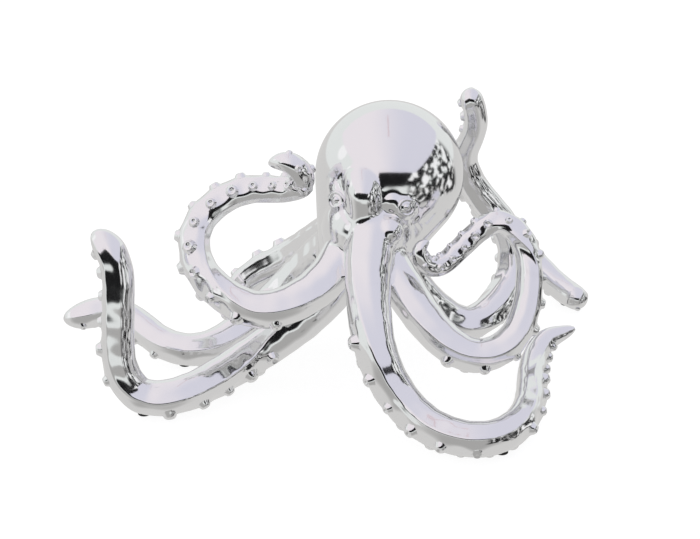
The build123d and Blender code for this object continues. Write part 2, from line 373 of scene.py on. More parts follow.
# Studio: one wide soft box over the table with a thin seam in its middle, a pale sweep behind,
# a dark room in front and a cluttered one at the right. Lengths are in metres.
PANEL_HEIGHT = 1.5
PANEL_FRONT = 2.55
PANEL_BACK = 2.1
PANEL_SIDE = 2.4
PANEL_BLEND = 0.7
SEAM_WIDTH = 18 * MM
SEAM_FRONT = 0.12
SEAM_BACK = 1.1
SEAM_DROP = 5 * MM
ROOM_RADIUS = 6.0
FLOOR_SIDE = 3.0
FLOOR_GLOW = 0.9
# Strength of the world's light on things that are neither seen directly nor mirrored
SOFT_LIGHT = 0.8
WHITE = "#FFFFFF"
PINK_PANEL = "#F4EEF2"
LAVENDER_PANEL = "#DEDDE9"
SEAM_PINK = "#CC9EA1"
PALE_SWEEP = "#ECEFED"
TABLE_GREY = "#D9D8D6"
FRONT_TABLE_GREY = "#B0AFAD"
FLOOR_GREY = "#7C7C7C"
ROOM_DARK = "#1A1A1B"
# How far below the horizon the table is whole, and where it turns darker towards the front, as
# shares of the room's radius
TABLE_EDGE = 0.03
FRONT_EDGE = (0.35, 0.8)
# The dark room in front: its lower and upper edge over the horizon, and its left and right
# edge from straight ahead, in degrees
ROOM_HEIGHTS = (7, 38)
ROOM_SIDES = (-60, 60)
# The same to its right, where it is full of bright and dark things
CLUTTER_HEIGHTS = (-22, 40)
CLUTTER_SIDES = (28, 118)
# Half widths of the soft edges, up and round, in radians
HEIGHT_SOFTNESS = 0.03
SIDE_SOFTNESS = 0.1
# Furniture and doorways of the cluttered room: how often the patches of light and dark come,
# and the levels of the pattern between which each of them starts
CLUTTER_SCALE = 8.0
UNLIT_LEVELS = (0.46, 0.49)
LIT_LEVELS = (0.43, 0.40)
# Bright windows and lamps of the room: direction from the figure and half width in degrees
LAMP_WAYS = (
    ((-0.74, -0.56, 0.38), 8),
    ((-0.89, 0.15, 0.43), 10),
    ((0.83, -0.54, 0.15), 7),
    ((0.62, -0.70, 0.35), 5),
)
LAMP_CORE_SHARE = 0.8


def to_linear(colour):
    """Linear colour with alpha from an sRGB hex value."""
    shares = [int(colour[start:start + 2], 16) / 255 for start in (1, 3, 5)]
    return [v / 12.92 if v <= 0.04045 else ((v + 0.055) / 1.055) ** 2.4 for v in shares] + [1.0]


class FigureSizes(bpy.types.PropertyGroup):
    """Sizes and colours of the figure's looks."""

    span: bpy.props.FloatProperty(
        name="Span", description="Arm tip to arm tip", default=330 * MM, unit="LENGTH")
    head_radius: bpy.props.FloatProperty(
        name="Head radius", description="Big rounded head", default=47 * MM, unit="LENGTH")
    hub_radius: bpy.props.FloatProperty(
        name="Hub radius", description="Ball that the arms leave", default=26 * MM, unit="LENGTH")
    face_radius: bpy.props.FloatProperty(
        name="Face radius", description="Bulge of the face", default=27 * MM, unit="LENGTH")
    eye_radius: bpy.props.FloatProperty(
        name="Eye radius", description="Each raised eye", default=9.5 * MM, unit="LENGTH")
    foot_radius: bpy.props.FloatProperty(
        name="Foot radius", description="Rubber pads", default=4 * MM, unit="LENGTH")
    foot_height: bpy.props.FloatProperty(
        name="Foot height", description="Pads below the arms", default=2.5 * MM, unit="LENGTH")
    drain_depth: bpy.props.FloatProperty(
        name="Drain depth", description="Plug face below the hub's middle", default=22 * MM, unit="LENGTH")
    plug_radius: bpy.props.FloatProperty(
        name="Plug radius", description="Recess of the drain plug", default=10 * MM, unit="LENGTH")
    skin_grain: bpy.props.FloatProperty(
        name="Skin grain", description="Edges of the body's mesh", default=0.95 * MM, unit="LENGTH")
    stub_overrun: bpy.props.FloatProperty(
        name="Stub overrun", description="Stub past its seam before the cut", default=5 * MM, unit="LENGTH")
    station_spacing: bpy.props.FloatProperty(
        name="Station spacing", description="Between an arm's rings", default=1.6 * MM, unit="LENGTH")
    plating: bpy.props.FloatVectorProperty(
        name="Plating", description="Mirror plating", size=4, default=to_linear("#F0F0F1"), subtype="COLOR")
    rubber: bpy.props.FloatVectorProperty(
        name="Rubber", description="Pads", size=4, default=to_linear("#0E0E0F"), subtype="COLOR")
    plug_grey: bpy.props.FloatVectorProperty(
        name="Plug grey", description="Drain plug", size=4, default=to_linear("#4D4D4F"), subtype="COLOR")
    dowel_grey: bpy.props.FloatVectorProperty(
        name="Dowel grey", description="Steel dowels", size=4, default=to_linear("#9E9EA1"), subtype="COLOR")


def sizes():
    """The sizes and colours that the scene holds."""
    return bpy.context.scene.octopus_sizes


def place(shares):
    """A point of the figure from its shares of the span."""
    x = (shares[0] - MIDDLE_SHARES[0]) * sizes().span
    y = (shares[1] - MIDDLE_SHARES[1]) * sizes().span
    return np.array([x, y, shares[2] * sizes().span])


def smooth_step(value):
    """0 below 0, 1 above 1, and an even rise between."""
    value = np.clip(value, 0, 1)
    return value * value * (3 - 2 * value)


def unit(vectors):
    """Vectors of length 1 in the given directions."""
    return vectors / np.linalg.norm(vectors, axis=-1, keepdims=True)


def smooth_line(points, count):
    """Points along the cubic line with even curvature that runs through the given ones."""
    chords = np.linalg.norm(np.diff(points, axis=0), axis=1)
    knots = np.concatenate([[0], np.cumsum(chords)])
    rises = np.diff(points, axis=0) / chords[:, None]
    last = len(points) - 1
    matrix = np.zeros((last + 1, last + 1))
    right = np.zeros_like(points)
    matrix[0, 0] = matrix[last, last] = 1
    right[0] = rises[0] + (rises[0] - rises[1]) * chords[0] / (chords[0] + chords[1])
    right[last] = rises[-1] + (rises[-1] - rises[-2]) * chords[-1] / (chords[-1] + chords[-2])
    for knot in range(1, last):
        before, after = chords[knot - 1], chords[knot]
        matrix[knot, knot - 1:knot + 2] = after, 2 * (before + after), before
        right[knot] = 3 * (after * rises[knot - 1] + before * rises[knot])
    slopes = np.linalg.solve(matrix, right)
    at = np.linspace(0, knots[-1], count)
    piece = np.clip(np.searchsorted(knots, at, side="right") - 1, 0, last - 1)
    step = chords[piece][:, None]
    t = (at - knots[piece])[:, None] / step
    return ((2 * t**3 - 3 * t**2 + 1) * points[piece] + (t**3 - 2 * t**2 + t) * step * slopes[piece]
            + (3 * t**2 - 2 * t**3) * points[piece + 1] + (t**3 - t**2) * step * slopes[piece + 1])


class Arm:
    """One arm: its middle line, its radius along it, and the way its back faces."""

    def __init__(self, name):
        self.name = name
        self.root, self.end, self.nose, self.seam = (size * MM for size in ARM_SIZES[name])
        self.power = ARM_TAPER_POWER.get(name, 1.0)
        route = ARM_ROUTE_SHARES[name]
        shares = np.linspace(0, 1, len(route))
        lying = sizes().foot_height + BELLY_SHARE * self.taper(shares)
        points = np.array([place(entry) for entry in route]) + UP * lying[:, None]
        fine = smooth_line(points, MEASURE_POINTS)
        walked = np.concatenate([[0], np.cumsum(np.linalg.norm(np.diff(fine, axis=0), axis=1))])
        self.length = walked[-1]
        self.distances = np.linspace(0, self.length, LINE_POINTS)
        self.line = np.stack([np.interp(self.distances, walked, fine[:, k]) for k in range(3)], axis=1)
        self.headings = unit(np.gradient(self.line, self.distances, axis=0))
        if name in BELLY_WAYS:
            chords = np.linalg.norm(np.diff(points, axis=0), axis=1)
            self.backs = self.face_belly(np.concatenate([[0], np.cumsum(chords)]) / chords.sum())
        else:
            self.backs = self.carry_back(ARM_ROLL[name])
        self.feet = [share * self.length for share in FOOT_PLACE_SHARES.get(name, ())]
        self.suckers = self.sucker_distances()

    def taper(self, share):
        """Radius without the nose, at a share of the length."""
        return self.end + (self.root - self.end) * (1 - share) ** self.power

    def radius(self, distance):
        """Radius at a distance from the first point, nose included."""
        into_nose = np.maximum(0, 1 - (self.length - distance) / self.nose)
        rounding = np.maximum(NOSE_END_SHARE, np.sqrt(np.maximum(0, 1 - into_nose**2)))
        return self.taper(distance / self.length) * rounding

    def carry_back(self, roll):
        """The back's direction along the line, carried without twisting."""
        first = self.headings[0]
        side = np.cross(first, UP)
        back = UP * math.cos(roll * DEGREE) - side * math.sin(roll * DEGREE)
        back += first * first.dot(UP) * (1 - math.cos(roll * DEGREE))
        backs = []
        for heading in self.headings:
            back = unit(back - heading * back.dot(heading))
            backs.append(back)
        return np.array(backs)

    def face_belly(self, point_shares):
        """The back's direction along the line, away from the way the belly faces."""
        ways = BELLY_WAYS[self.name]
        at = point_shares[list(ways)] * self.length
        seen = np.array(list(ways.values()), float)
        in_picture = np.stack([np.interp(self.distances, at, seen[:, k]) for k in range(3)], axis=1)
        rise = CAMERA_ELEVATION * DEGREE
        right = [1, 0, 0]
        picture_up = [0, math.sin(rise), math.cos(rise)]
        to_viewer = [0, -math.cos(rise), math.sin(rise)]
        backs = -(in_picture @ np.array([right, picture_up, to_viewer]))
        along = np.sum(backs * self.headings, axis=1, keepdims=True)
        return unit(backs - self.headings * along)

    def frame(self, distance):
        """Middle, side, back and heading at distances along the arm."""
        values = [
            np.stack([np.interp(distance, self.distances, table[:, k]) for k in range(3)], axis=-1)
            for table in (self.line, self.backs, self.headings)
        ]
        middle, heading = values[0], unit(values[2])
        back = unit(values[1] - heading * np.sum(values[1] * heading, axis=-1, keepdims=True))
        return middle, np.cross(back, heading), back, heading

    def sucker_distances(self):
        """Distances of the suckers along the arm, the two rows in turn."""
        found = []
        distance = self.seam + self.radius(self.seam) * SUCKER_PITCH_SHARE
        while distance < self.length - self.nose * BARE_NOSE_SHARE:
            found.append(distance)
            distance += self.radius(distance) * SUCKER_PITCH_SHARE / 2
        return np.array(found)

    def hollow(self, distance, angle):
        """Share of the radius that the belly's flank sinks by between the suckers."""
        count = np.interp(distance, self.suckers, np.arange(len(self.suckers)))
        wave = np.cos(math.pi * count) * np.where(np.cos(angle) > 0, 1, -1)
        row = (fold(angle) + 90 - SUCKER_ANGLE) / HOLLOW_WIDTH
        inside = smooth_step((distance - self.suckers[0]) / HOLLOW_START)
        inside *= smooth_step((self.suckers[-1] - distance) / HOLLOW_END)
        return HOLLOW_SHARE * (wave - 1) / 2 * np.exp(-row**2) * inside

    def skin(self, distance, angle):
        """Points on the arm's surface; the angle runs from the arm's side up over its back."""
        middle, side, back, _ = self.frame(distance)
        reach = section_reach(angle) + self.hollow(distance, angle) + cast_waves(distance, angle)
        reach = (self.radius(distance) * reach)[..., None]
        return middle + reach * (side * np.cos(angle)[..., None] + back * np.sin(angle)[..., None])


def fold(angle):
    """Degrees above an arm's side edge, the same on both sides."""
    return np.degrees(np.arctan2(np.sin(angle), np.abs(np.cos(angle))))


def section_reach(angle):
    """How far an arm's section reaches at an angle, as a share of the radius there."""
    height = np.where(np.sin(angle) < 0, BELLY_SHARE, BACK_SHARE)
    offset = (EDGE_SIDE_SHARE**2 - height**2) / (2 * height)
    lift = np.abs(np.sin(angle)) * offset
    arc = np.sqrt(lift**2 + EDGE_SIDE_SHARE**2) - lift
    lip = LIP_SHARE * np.exp(-(fold(angle) / LIP_WIDTH) ** 2)
    groove = GROOVE_SHARE * np.exp(-((fold(angle) - GROOVE_PLACE) / GROOVE_WIDTH) ** 2)
    return arc + lip - groove


def cast_waves(distance, angle):
    """Share of the radius that the cast skin waves by."""
    long, short = (2 * math.pi / length for length in WAVE_LENGTHS)
    waves = np.sin(distance * long + WAVE_LEANS[0] * np.sin(2 * angle))
    waves += np.sin(distance * short - WAVE_LEANS[1] * np.cos(angle))
    return WAVE_SHARE * waves


def ring_angles():
    """Angles once round an arm's ring."""
    right = [degrees * DEGREE for degrees in HALF_RING_ANGLES]
    left = [math.pi - angle for angle in reversed(right[1:-1])]
    return np.array(right + left)


def sucker_places(arm):
    """Place, outward direction and radius of each sucker, in two staggered rows."""
    found = []
    offset = (EDGE_SIDE_SHARE**2 - BELLY_SHARE**2) / (2 * BELLY_SHARE)
    for number, distance in enumerate(arm.suckers):
        radius = arm.radius(distance)
        clear = sizes().foot_radius + radius * SUCKER_RADIUS_SHARE
        if any(abs(distance - foot) < clear for foot in arm.feet):
            continue
        radius *= 1 + SUCKER_SWING_SHARE * math.sin(SUCKER_SWING_STEP * number)
        side = 1 if number % 2 == 0 else -1
        angle = np.array((-90 + side * SUCKER_ANGLE) * DEGREE)
        middle, _, back, _ = arm.frame(distance)
        spot = arm.skin(np.array(distance), angle)
        outward = unit(spot - (middle + back * (offset * arm.radius(distance))))
        found.append((spot, outward, radius))
    return found


def keep_in_box(points):
    """Points moved to the solids' box where a sucker or a lip would pass it."""
    low, high = CAD_BOX
    return np.clip(points, low, high)


def new_mesh(name, points, faces):
    """A new object from points and faces, linked to the scene."""
    mesh = bpy.data.meshes.new(name)
    mesh.from_pydata([tuple(point) for point in points], [], faces)
    mesh.validate()
    made = bpy.data.objects.new(name, mesh)
    bpy.context.collection.objects.link(made)
    return made


def tube_faces(rings, around, first=0):
    """Quads between rings, with a closed fan at each end."""
    faces = []
    for ring in range(rings - 1):
        for k in range(around):
            a, b = first + ring * around + k, first + ring * around + (k + 1) % around
            faces.append((a, a + around, b + around, b))
    start, end = first + rings * around, first + rings * around + 1
    for k in range(around):
        faces.append((start, first + k, first + (k + 1) % around))
        top = first + (rings - 1) * around
        faces.append((end, top + (k + 1) % around, top + k))
    return faces


def tube(arm, stations):
    """Points and faces of a stretch of an arm."""
    angles = ring_angles()
    grid_distance, grid_angle = np.meshgrid(stations, angles, indexing="ij")
    points = arm.skin(grid_distance, grid_angle).reshape(-1, 3)
    ends = arm.frame(np.array([stations[0], stations[-1]]))[0]
    return np.vstack([points, ends]), tube_faces(len(stations), len(angles))


def outer_stations(arm):
    """Distances of the rings from the seam to the tip."""
    nose_start = arm.length - arm.nose
    count = round((nose_start - arm.seam) / sizes().station_spacing)
    even = np.linspace(arm.seam, nose_start, count, endpoint=False)
    rings = max(NOSE_RINGS_LEAST, round(arm.nose / sizes().station_spacing))
    angles = np.linspace(0, NOSE_LAST_ANGLE * DEGREE, rings)
    return np.concatenate([even, nose_start + arm.nose * np.sin(angles)])


def sucker_mesh(arm, first):
    """Points and faces of all suckers on an arm: low cups with a dimple."""
    points, faces = [], []
    for centre, outward, radius in sucker_places(arm):
        side = unit(np.cross(outward, NEAR_UP))
        other = np.cross(outward, side)
        start = first + len(points)
        wide, high = radius * SUCKER_RADIUS_SHARE, radius * SUCKER_HEIGHT_SHARE
        for reach, lift in SUCKER_PROFILE_SHARES:
            for k in range(SUCKER_SIDES):
                turn = 2 * math.pi * k / SUCKER_SIDES
                across = side * math.cos(turn) + other * math.sin(turn)
                points.append(centre + across * (wide * reach) + outward * (high * lift))
        points += [centre + outward * (high * lift) for lift in (SUCKER_BASE_SHARE, SUCKER_DIMPLE_SHARE)]
        faces += tube_faces(len(SUCKER_PROFILE_SHARES), SUCKER_SIDES, start)
    return points, faces


def select_only(objects):
    """Selects these objects and nothing else, and makes the first one active."""
    bpy.ops.object.select_all(action="DESELECT")
    for made in objects:
        made.select_set(True)
    bpy.context.view_layer.objects.active = objects[0]


def finish_shading(made):
    """Outward normals, and smooth shading except at sharp edges."""
    select_only([made])
    shape = bmesh.new()
    shape.from_mesh(made.data)
    bmesh.ops.recalc_face_normals(shape, faces=shape.faces)
    shape.to_mesh(made.data)
    shape.free()
    bpy.ops.object.shade_smooth_by_angle(angle=SHARP_ANGLE * DEGREE)
    made.select_set(False)


def finish_piece(made, node):
    """Shades and plates a piece, and puts it in the place of a CAD node."""
    finish_shading(made)
    made.data.materials.append(plated_material())
    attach(made, "root")
    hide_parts(node)


def build_arm(name):
    """One arm with its suckers, from the seam with the body to the tip."""
    arm = Arm(name)
    points, faces = tube(arm, outer_stations(arm))
    more_points, more_faces = sucker_mesh(arm, len(points))
    made = new_mesh(f"{name}_arm", keep_in_box(list(points) + more_points), faces + more_faces)
    finish_piece(made, f"arm_{name}")


def add_ball(radius, centre, segments=BALL_SEGMENTS):
    """A ball with its place in its mesh."""
    bpy.ops.mesh.primitive_uv_sphere_add(
        segments=segments, ring_count=segments * 2 // 3, radius=radius, location=centre)
    bpy.ops.object.transform_apply(location=True)
    return bpy.context.object


def neck_tube():
    """Tapered tube that joins the head to the hub along their common tangents."""
    head, hub = place(HEAD_SHARES), place(HUB_SHARES)
    neck = head - hub
    length = np.linalg.norm(neck)
    along = neck / length
    sine = (sizes().head_radius - sizes().hub_radius) / length
    cosine = math.sqrt(1 - sine**2)
    side = unit(np.cross(along, UP))
    other = np.cross(along, side)
    points = []
    for ball, radius in ((hub, sizes().hub_radius), (head, sizes().head_radius)):
        centre = ball - along * (radius * sine)
        for k in range(BALL_SEGMENTS):
            turn = 2 * math.pi * k / BALL_SEGMENTS
            points.append(centre + (side * math.cos(turn) + other * math.sin(turn)) * radius * cosine)
    points += [hub, head]
    return new_mesh("neck", points, tube_faces(2, BALL_SEGMENTS))


def apply_modifier(made, kind, **settings):
    """Adds a modifier, sets it and applies it."""
    bpy.context.view_layer.objects.active = made
    bpy.ops.object.modifier_add(type=kind)
    modifier = made.modifiers[-1]
    for key, value in settings.items():
        setattr(modifier, key, value)
    bpy.ops.object.modifier_apply(modifier=modifier.name)


def read_points(made):
    """Places of a mesh's vertices."""
    points = np.empty(len(made.data.vertices) * 3)
    made.data.vertices.foreach_get("co", points)
    return points.reshape(-1, 3)


def write_points(made, points):
    """Moves a mesh's vertices to new places."""
    made.data.vertices.foreach_set("co", points.ravel())
    made.data.update()


def nearest_on_line(points, line):
    """For each point: the number of the line's nearest point, and how far apart they are."""
    apart = np.linalg.norm(points[:, None] - line[None], axis=2)
    nearest = np.argmin(apart, axis=1)
    return nearest, apart[np.arange(len(points)), nearest]


def nearest_arm(arms, points):
    """For each point: the arm with the nearest surface, the distance along it and the gap to it."""
    best_gap = np.full(len(points), np.inf)
    best_arm = np.zeros(len(points), int)
    best_distance = np.zeros(len(points))
    for number, arm in enumerate(arms):
        inside = arm.distances < arm.seam + 2 * sizes().stub_overrun
        line, along = arm.line[inside], arm.distances[inside]
        for start in range(0, len(points), CHUNK):
            part = slice(start, start + CHUNK)
            nearest, apart = nearest_on_line(points[part], line)
            gap = np.abs(apart - arm.radius(along[nearest]))
            better = gap < best_gap[part]
            best_gap[part][better] = gap[better]
            best_arm[part][better] = number
            best_distance[part][better] = along[nearest][better]
    return best_arm, best_distance, best_gap


def settle_stubs(made, arms):
    """Lays the stubs' outer ends exactly on the arms' surfaces, so that the seams meet."""
    points = read_points(made)
    owner, distance, gap = nearest_arm(arms, points)
    for number, arm in enumerate(arms):
        widest = SETTLE_GAP_SHARE * arm.root
        mine = (owner == number) & (gap < widest)
        at = distance[mine]
        weight = smooth_step((at - arm.seam + SETTLE_START) / SETTLE_LENGTH)
        weight *= smooth_step((widest - gap[mine]) / (widest / 2))
        middle, side, back, _ = arm.frame(at)
        offset = points[mine] - middle
        angle = np.arctan2(np.sum(offset * back, axis=1), np.sum(offset * side, axis=1))
        on_skin = arm.skin(at, angle)
        points[mine] += (on_skin - points[mine]) * weight[:, None]
    write_points(made, points)


def beyond_seam(arm, points):
    """Marks the points inside or on the arm's stub, past a little before its seam."""
    past = (arm.distances > arm.seam - CUT_START) & (arm.distances < arm.seam + 3 * sizes().stub_overrun)
    nearest, apart = nearest_on_line(points, arm.line[past])
    inside = apart < CUT_REACH_SHARE * arm.radius(arm.distances[past][nearest])
    middle, _, _, heading = arm.frame(np.array(arm.seam))
    return inside & ((points - middle) @ heading > -CUT_OVERLAP)


def cut_stubs(made, arms):
    """Cuts each stub square at its seam and closes the cut."""
    shape = bmesh.new()
    shape.from_mesh(made.data)
    for arm in arms:
        middle, _, _, heading = arm.frame(np.array(arm.seam))
        seam_place, seam_way = Vector(middle), Vector(heading)
        reach = CUT_SEARCH_SHARE * float(arm.radius(arm.seam))
        near = [vert for vert in shape.verts if (vert.co - seam_place).length < reach]
        marks = beyond_seam(arm, np.array([vert.co for vert in near]))
        beyond = {vert for vert, mark in zip(near, marks) if mark}
        faces = [face for face in shape.faces if all(vert in beyond for vert in face.verts)]
        edges = list(dict.fromkeys(edge for face in faces for edge in face.edges))
        verts = list(dict.fromkeys(vert for face in faces for vert in face.verts))
        cut = bmesh.ops.bisect_plane(
            shape, geom=verts + edges + faces, plane_co=seam_place, plane_no=seam_way, clear_outer=True)
        rim = [edge for edge in cut["geom_cut"] if isinstance(edge, bmesh.types.BMEdge)]
        bmesh.ops.holes_fill(shape, edges=rim, sides=0)
    shape.to_mesh(made.data)
    shape.free()


def ridge_balls():
    """Centre and radius of balls close together along the face's ridges."""
    found = []
    for radius, ridge in FACE_RIDGES:
        points = np.array([place(entry) for entry in ridge])
        count = round(np.linalg.norm(np.diff(points, axis=0), axis=1).sum() / RIDGE_SPACING)
        found += [(spot, radius * MM) for spot in smooth_line(points, count)]
    return found


def add_eye_rings(made):
    """A raised ring and a small pupil on each eye."""
    radius = sizes().eye_radius
    added = []
    for shares, way in zip(EYE_PLACE_SHARES, EYE_WAYS):
        eye, facing = Vector(place(shares)), Vector(way).normalized()
        bpy.ops.mesh.primitive_torus_add(
            major_segments=40, major_radius=EYE_RING_SHARE * radius,
            minor_segments=12, minor_radius=EYE_RING_THICKNESS_SHARE * radius,
            location=eye + facing * (EYE_RING_LIFT_SHARE * radius),
            rotation=facing.to_track_quat("Z", "Y").to_euler())
        bpy.ops.object.transform_apply()
        added.append(bpy.context.object)
        added.append(add_ball(PUPIL_SHARE * radius, eye + facing * (PUPIL_LIFT_SHARE * radius)))
    select_only([made] + added)
    bpy.ops.object.join()


def build_body():
    """Head, face, eyes and the arm stubs as one skin with blended roots."""
    arms = [Arm(name) for name in ARM_SIZES]
    parts = [
        add_ball(sizes().head_radius, place(HEAD_SHARES)),
        add_ball(sizes().hub_radius, place(HUB_SHARES)),
        add_ball(sizes().face_radius, place(FACE_SHARES)),
        neck_tube(),
    ]
    for shares in EYE_PLACE_SHARES:
        parts.append(add_ball(sizes().eye_radius, place(shares)))
    for shares, radius in FACE_LOBES:
        parts.append(add_ball(radius * MM, place(shares)))
    for spot, radius in ridge_balls():
        parts.append(add_ball(radius, spot, RIDGE_SEGMENTS))
    for arm in arms:
        stations = np.arange(0, arm.seam + sizes().stub_overrun, STUB_SPACING)
        parts.append(new_mesh("stub", *tube(arm, stations)))
    select_only(parts)
    bpy.ops.object.join()
    made = bpy.context.object
    made.name = "body"
    made.data.name = "body"
    apply_modifier(made, "REMESH", mode="VOXEL", voxel_size=sizes().skin_grain)
    apply_modifier(made, "SMOOTH", factor=0.5, iterations=SKIN_SMOOTHING_ROUNDS)
    settle_stubs(made, arms)
    cut_stubs(made, arms)
    cut_drain(made)
    add_eye_rings(made)
    finish_piece(made, "body_casting")


def cut_drain(made):
    """Recess under the hub that the drain plug sits in."""
    hub, drain = place(HUB_SHARES), place((*DRAIN_SHARES, 0))
    top = hub[2] - sizes().drain_depth + PLUG_RECESS
    bpy.ops.mesh.primitive_cylinder_add(
        vertices=64, radius=sizes().plug_radius, depth=DRAIN_CUTTER_DEPTH,
        location=(drain[0], drain[1], top - DRAIN_CUTTER_DEPTH / 2))
    cutter = bpy.context.object
    apply_modifier(made, "BOOLEAN", object=cutter, operation="DIFFERENCE", solver="EXACT")
    bpy.data.objects.remove(cutter)


def connect(node, inputs):
    """Sets a node's inputs, given by name or number, or links them where the value is a socket."""
    for key, value in inputs.items():
        if isinstance(value, bpy.types.NodeSocket):
            node.id_data.links.new(value, node.inputs[key])
        else:
            node.inputs[key].default_value = value


def add_node(tree, kind, inputs=None, **settings):
    """Adds a node with its settings and links; returns it."""
    node = tree.nodes.new(kind)
    for key, value in settings.items():
        setattr(node, key, value)
    connect(node, inputs or {})
    return node


def new_material(name):
    """A material with its own node tree."""
    material = bpy.data.materials.new(name)
    material.use_nodes = True
    return material, material.node_tree


def plated_material():
    """Polished cast resin under bright silver plating.

    It mirrors like glass, bent a little by the slow waves of the casting and slightly hazed.
    """
    if "plated_resin" in bpy.data.materials:
        return bpy.data.materials["plated_resin"]
    material, tree = new_material("plated_resin")
    spot = add_node(tree, "ShaderNodeTexCoord").outputs["Object"]
    # Waves about 12 mm long and under 1 mm deep, as a hand-polished casting shows
    waves = add_node(tree, "ShaderNodeTexNoise", {"Vector": spot, "Scale": 1 / CASTING_WAVE, "Detail": 1.0})
    bump = add_node(
        tree, "ShaderNodeBump", {"Height": waves.outputs["Fac"], "Strength": 0.25, "Distance": 0.6 * MM})
    # Patches of haze about 20 mm wide
    haze = add_node(tree, "ShaderNodeTexNoise", {"Vector": spot, "Scale": 1 / PLATING_PATCH, "Detail": 4.0})
    spread = add_node(tree, "ShaderNodeMapRange", {
        "Value": haze.outputs["Fac"], "From Min": 0.35, "From Max": 0.7, "To Min": 0.035, "To Max": 0.09})
    connect(tree.nodes["Principled BSDF"], {
        "Base Color": sizes().plating,
        "Metallic": 1.0,
        "Normal": bump.outputs["Normal"],
        "Roughness": spread.outputs["Result"],
    })
    return material


def rubber_material():
    """Moulded black rubber: dull, with a fine grain that breaks up its shine."""
    material, tree = new_material("foot_rubber")
    spot = add_node(tree, "ShaderNodeTexCoord").outputs["Object"]
    # Grain of about 0.3 mm
    grain = add_node(tree, "ShaderNodeTexNoise", {"Vector": spot, "Scale": 1 / RUBBER_GRAIN, "Detail": 2.0})
    bump = add_node(
        tree, "ShaderNodeBump", {"Height": grain.outputs["Fac"], "Strength": 0.3, "Distance": 0.1 * MM})
    connect(tree.nodes["Principled BSDF"], {
        "Base Color": sizes().rubber,
        "Roughness": 0.7,
        "Normal": bump.outputs["Normal"],
    })
    return material


def worn_material(name, colour, roughness, metallic):
    """Plastic or steel of one colour, with slight wear in its shine in patches of about 2 mm."""
    material, tree = new_material(name)
    spot = add_node(tree, "ShaderNodeTexCoord").outputs["Object"]
    wear = add_node(tree, "ShaderNodeTexNoise", {"Vector": spot, "Scale": 1 / WEAR_PATCH, "Detail": 3.0})
    spread = add_node(tree, "ShaderNodeMapRange", {
        "Value": wear.outputs["Fac"], "To Min": roughness - 0.1, "To Max": roughness + 0.1})
    connect(tree.nodes["Principled BSDF"], {
        "Base Color": colour,
        "Metallic": metallic,
        "Roughness": spread.outputs["Result"],
    })
    return material


def dress_node(node, material):
    """Gives a CAD node that stays its material."""
    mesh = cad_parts[node].data
    mesh.materials.clear()
    mesh.materials.append(material)


def glowing_material(name, colour, strength=1.0):
    """A material that gives its own light; returns it, its tree and its glow."""
    material, tree = new_material(name)
    tree.nodes.clear()
    glow = add_node(tree, "ShaderNodeEmission", {"Color": to_linear(colour), "Strength": strength})
    add_node(tree, "ShaderNodeOutputMaterial", {"Surface": glow.outputs["Emission"]})
    return material, tree, glow


def hide_from_camera(made):
    """Makes a piece of the studio show in reflections alone."""
    made.visible_camera = False
    made.visible_shadow = False


def add_panel(name, side, front, back, height, colour):
    """A level glowing sheet over the table; returns its material's tree and glow."""
    corners = [(-side, -front, height), (side, -front, height), (side, back, height), (-side, back, height)]
    made = new_mesh(name, corners, [(0, 1, 2, 3)])
    material, tree, glow = glowing_material(name, colour)
    made.data.materials.append(material)
    hide_from_camera(made)
    return tree, glow


def build_panels():
    """A wide soft box, a little pink on the left and lavender on the right, and its thin seam."""
    tree, glow = add_panel("panel", PANEL_SIDE, PANEL_FRONT, PANEL_BACK, PANEL_HEIGHT, PINK_PANEL)
    spot = add_node(tree, "ShaderNodeTexCoord").outputs["Object"]
    across = add_node(tree, "ShaderNodeSeparateXYZ", {"Vector": spot}).outputs["X"]
    rightward = add_node(
        tree, "ShaderNodeMapRange", {"Value": across, "From Min": -PANEL_BLEND, "From Max": PANEL_BLEND},
        interpolation_type="SMOOTHSTEP")
    colour = add_node(tree, "ShaderNodeMixRGB", {
        "Fac": rightward.outputs["Result"],
        "Color1": to_linear(PINK_PANEL),
        "Color2": to_linear(LAVENDER_PANEL),
    })
    connect(glow, {"Color": colour.outputs["Color"]})
    add_panel("panel_seam", SEAM_WIDTH / 2, SEAM_FRONT, SEAM_BACK, PANEL_HEIGHT - SEAM_DROP, SEAM_PINK)


def sector(tree, height, side, heights, sides):
    """1 between two heights over the horizon and two angles from straight ahead, in degrees."""
    inside = 1.0
    edges = ((height, heights, HEIGHT_SOFTNESS), (side, sides, SIDE_SOFTNESS))
    for source, limits, soft in edges:
        first, last = (limit * DEGREE for limit in limits)
        for low, high in ((first - soft, first + soft), (last + soft, last - soft)):
            step = add_node(
                tree, "ShaderNodeMapRange", {"Value": source, "From Min": low, "From Max": high},
                interpolation_type="SMOOTHSTEP")
            both = {0: inside, 1: step.outputs["Result"]}
            inside = add_node(tree, "ShaderNodeMath", both, operation="MULTIPLY").outputs["Value"]
    return inside


